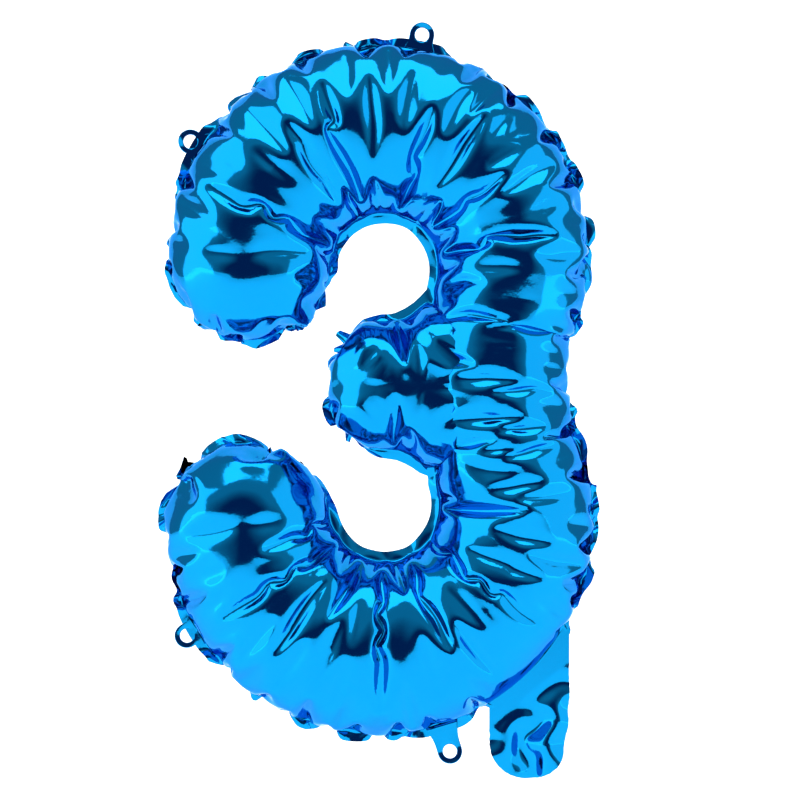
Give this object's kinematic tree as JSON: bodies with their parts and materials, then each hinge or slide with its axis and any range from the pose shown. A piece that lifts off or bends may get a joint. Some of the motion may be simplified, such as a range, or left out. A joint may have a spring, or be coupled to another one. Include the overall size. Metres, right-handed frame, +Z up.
{
  "type": "foil number balloon",
  "caption": "Inflated foil balloon in the shape of the digit three, with a welded flange, hang tabs with holes and a folding filling tail.",
  "frame": {"origin": "centre of the hole in the top hang tab, on the seam plane", "axes": "+Z up the digit, -Y out of its front, +X to its right as it is read from the front"},
  "size_m": [0.2654, 0.103, 0.4539],
  "materials": {
    "foil": "metallised blue film, mirror gloss",
    "valve_film": "clear soft film"
  },
  "bodies": {
    "balloon": {"front_panel": "foil", "back_panel": "foil", "valve_front_film": "valve_film", "valve_back_film": "valve_film"},
    "tail": {"tail_front_film": "foil", "tail_back_film": "foil", "tail_valve_front_film": "valve_film", "tail_valve_back_film": "valve_film"},
    "top_tab": {"hang_tab_top": "foil"},
    "upper_left_tab": {"hang_tab_upper_left": "foil"},
    "lower_left_tab": {"hang_tab_lower_left": "foil"},
    "bottom_tab": {"hang_tab_bottom": "foil"}
  },
  "joints": [
    {"name": "tail_fold", "type": "hinge", "parent": "balloon", "child": "tail", "pos_m": [0.06111, 0, -0.39444], "axis": [0.766, 0, 0.6428], "range_deg": [-100, 100], "stiffness_Nm_per_rad": 0.0002},
    {"name": "top_tab_flex", "type": "hinge", "parent": "balloon", "child": "top_tab", "pos_m": [-0.00114, 0, -0.00589], "axis": [-0.9816, 0, 0.1908], "range_deg": [-90, 90], "stiffness_Nm_per_rad": 0.00002},
    {"name": "upper_left_tab_flex", "type": "hinge", "parent": "balloon", "child": "upper_left_tab", "pos_m": [-0.13367, 0, -0.06713], "axis": [-0.515, 0, -0.8572], "range_deg": [-90, 90], "stiffness_Nm_per_rad": 0.00002},
    {"name": "lower_left_tab_flex", "type": "hinge", "parent": "balloon", "child": "lower_left_tab", "pos_m": [-0.13581, 0, -0.35721], "axis": [0.515, 0, -0.8572], "range_deg": [-90, 90], "stiffness_Nm_per_rad": 0.00002},
    {"name": "bottom_tab_flex", "type": "hinge", "parent": "balloon", "child": "bottom_tab", "pos_m": [0.01498, 0, -0.42396], "axis": [0.9563, 0, 0.2924], "range_deg": [-90, 90], "stiffness_Nm_per_rad": 0.00002}
  ]
}
